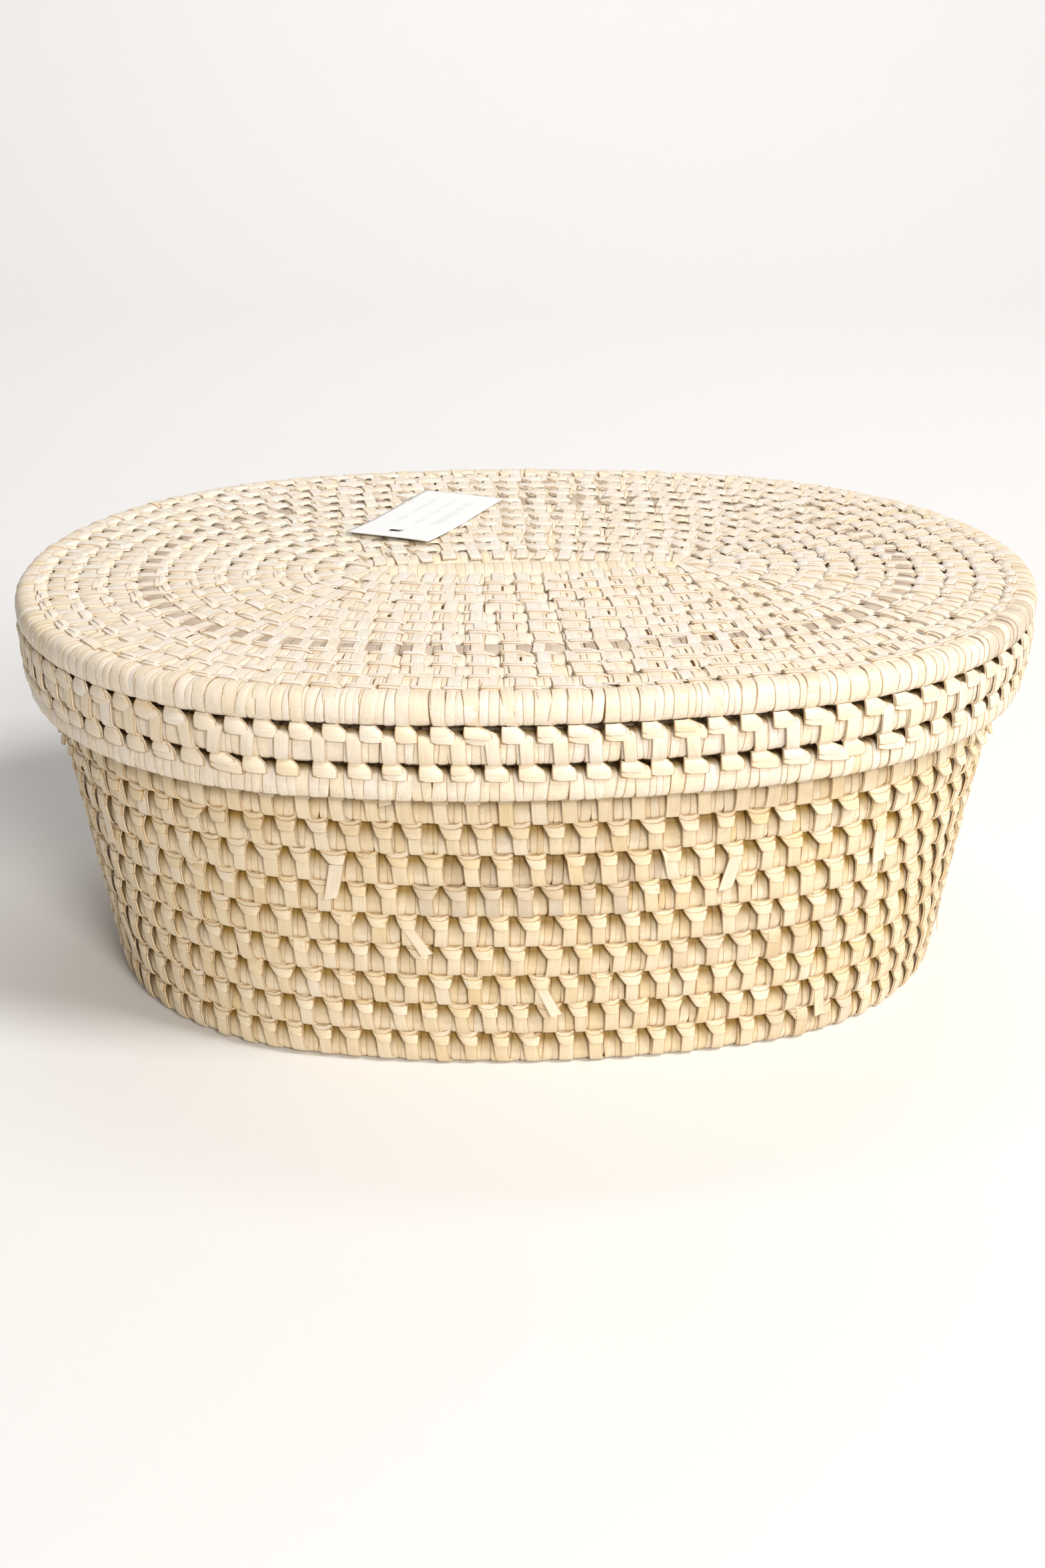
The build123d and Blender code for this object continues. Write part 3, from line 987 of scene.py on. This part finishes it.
def build_room(floor_height):
    """A pale floor that curves up behind the basket."""
    turn = np.linspace(0.1, math.pi / 2, BACK_STEPS)
    curve_y = BACK_START + BACK_RADIUS * np.sin(turn)
    curve_z = BACK_RADIUS - BACK_RADIUS * np.cos(turn)
    depth = np.concatenate([[-FLOOR_SIZE / 2, BACK_START], curve_y, [BACK_START + BACK_RADIUS]])
    height = np.concatenate([[0.0, 0.0], curve_z, [BACK_HEIGHT]])
    points, quads = [], []
    for number, (y, z) in enumerate(zip(depth, height)):
        points.append((-FLOOR_SIZE / 2, y, z))
        points.append((FLOOR_SIZE / 2, y, z))
        if number:
            corner = 2 * number
            quads.append((corner - 2, corner - 1, corner + 1, corner))
    mesh = bpy.data.meshes.new("floor")
    mesh.from_pydata(points, [], quads)
    mesh.shade_smooth()
    mesh.materials.append(floor_material())
    floor = bpy.data.objects.new("floor", mesh)
    floor.location.z = floor_height
    bpy.context.scene.collection.objects.link(floor)
    floor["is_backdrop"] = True


def add_lamp(name, place_at, aim, size, power, colour):
    """A soft round lamp that points at its aim."""
    light = bpy.data.lights.new(name, "AREA")
    light.shape = "DISK"
    light.size = size
    light.energy = power
    light.color = colour
    lamp = bpy.data.objects.new(name, light)
    lamp.location = place_at
    lamp.rotation_euler = (Vector(aim) - Vector(place_at)).to_track_quat("-Z", "Y").to_euler()
    bpy.context.scene.collection.objects.link(lamp)


def build_light():
    """The lamps, and the even light of the room."""
    for lamp in LAMPS:
        add_lamp(*lamp)
    world = bpy.data.worlds.new("room")
    world.use_nodes = True
    background = world.node_tree.nodes["Background"]
    background.inputs["Color"].default_value = (*ROOM_LIGHT, 1)
    background.inputs["Strength"].default_value = ROOM_LIGHT_STRENGTH
    bpy.context.scene.world = world


def build_camera():
    """A camera in front of the basket, looking down at it."""
    camera = bpy.data.objects.new("camera", bpy.data.cameras.new("camera"))
    azimuth, elevation = math.radians(CAMERA_AZIMUTH), math.radians(CAMERA_ELEVATION)
    level = Vector((math.sin(azimuth), -math.cos(azimuth), 0))
    back = level * math.cos(elevation) + Vector((0, 0, math.sin(elevation)))
    camera.location = CAMERA_AIM + back * CAMERA_DISTANCE
    camera.rotation_euler = (-back).to_track_quat("-Z", "Y").to_euler()
    camera.data.lens = CAMERA_LENS
    camera.data.clip_end = CAMERA_REACH
    bpy.context.scene.collection.objects.link(camera)
    bpy.context.scene.camera = camera


build_room(floor_height=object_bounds()[0].z)
build_light()
build_camera()
bpy.context.scene.view_settings.view_transform = "Standard"
